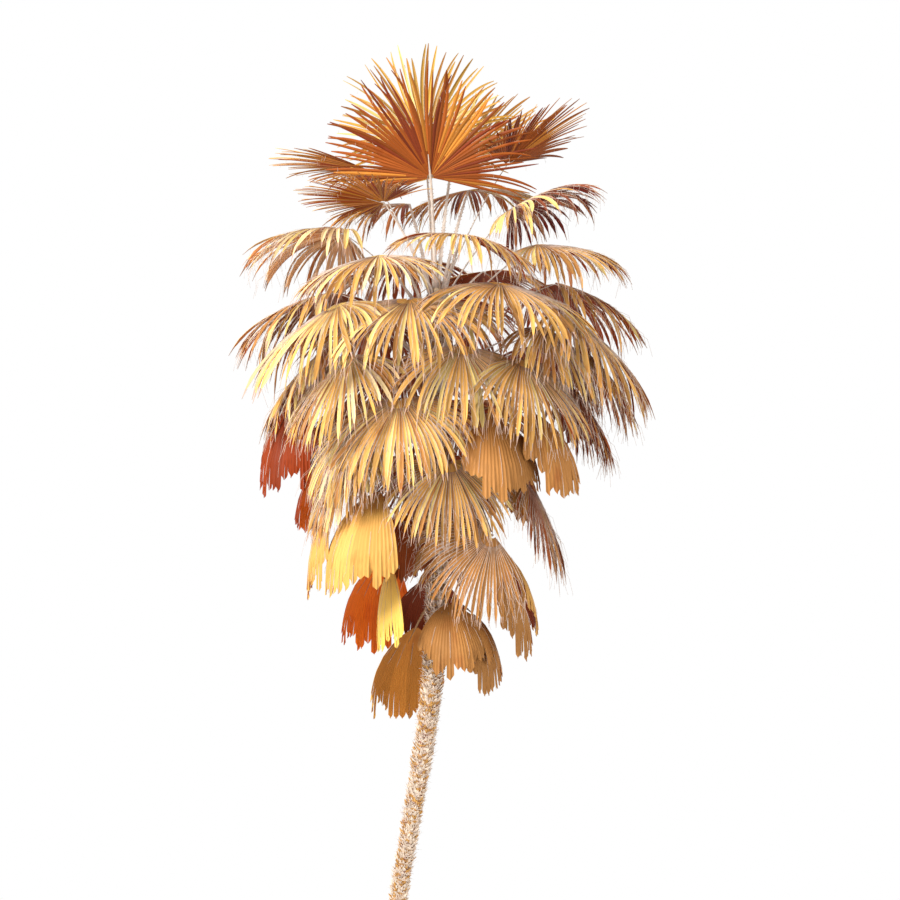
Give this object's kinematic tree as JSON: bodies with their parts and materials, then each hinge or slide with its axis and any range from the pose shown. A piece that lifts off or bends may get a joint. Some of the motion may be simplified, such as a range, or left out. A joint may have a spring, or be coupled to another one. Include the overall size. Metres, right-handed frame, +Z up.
{
  "type": "mexican fan palm",
  "caption": "Tall slender fan palm with a leaning trunk, a round crown of stalked fan fronds and a tapering skirt of dead hanging fronds.",
  "frame": {"origin": "centre of the flat cut under the trunk, at ground level", "axes": "+Z up along the foot of the trunk, +X towards the side that the trunk leans to, -Y towards the front of the palm"},
  "size_m": [4.9178, 4.1954, 10.8038],
  "materials": {
    "bark": "rough, clad in old leaf bases and fibre",
    "young_leaf": "satin, rust-orange below",
    "open_leaf": "satin, straw gold",
    "hanging_leaf": "dry, straw gold",
    "dead_leaf": "dry, matt, ochre to dark orange"
  },
  "bodies": {
    "root": {"trunk": "bark", "spear_fan": "young_leaf", "front_fan": "young_leaf", "back_fan": "young_leaf", "left_fan": "young_leaf", "right_high_fan": "young_leaf", "left_high_fan": "young_leaf", "right_fan": "open_leaf", "back_low_fan": "open_leaf", "back_left_fan": "open_leaf", "arch_left": "open_leaf", "arch_front": "open_leaf", "arch_back_right": "open_leaf", "arch_right": "open_leaf", "arch_front_left": "open_leaf", "arch_back_left": "open_leaf", "bend_left": "open_leaf", "bend_front_right": "open_leaf", "bend_back_right": "open_leaf", "bend_front": "open_leaf", "bend_back": "open_leaf", "bend_front_left": "open_leaf", "bend_right": "hanging_leaf", "bend_back_left": "open_leaf", "droop_right": "open_leaf", "droop_front": "hanging_leaf", "droop_back_right": "hanging_leaf", "droop_left": "hanging_leaf", "droop_front_left": "hanging_leaf", "droop_back": "hanging_leaf", "droop_front_right": "hanging_leaf", "droop_far_right": "hanging_leaf", "hang_right": "hanging_leaf", "hang_front": "hanging_leaf", "hang_back_right": "hanging_leaf", "hang_back_left": "hanging_leaf", "hang_front_left": "hanging_leaf", "skirt_right_back": "dead_leaf", "skirt_left_back": "dead_leaf", "skirt_front_right": "dead_leaf", "skirt_right": "dead_leaf", "low_front": "hanging_leaf", "low_left": "hanging_leaf", "low_back": "hanging_leaf", "low_right": "hanging_leaf", "low_back_right": "dead_leaf", "low_back_left": "dead_leaf", "skirt_front_left": "dead_leaf", "skirt_left": "dead_leaf", "skirt_low_right": "hanging_leaf", "skirt_back": "dead_leaf", "skirt_right_low_back": "dead_leaf", "skirt_left_low_back": "dead_leaf", "skirt_inner_front": "dead_leaf", "tail_front_left": "dead_leaf", "tail_right": "dead_leaf", "tail_front": "dead_leaf", "tail_back": "dead_leaf", "tail_low_right": "dead_leaf", "tail_left": "dead_leaf"}
  },
  "joints": []
}
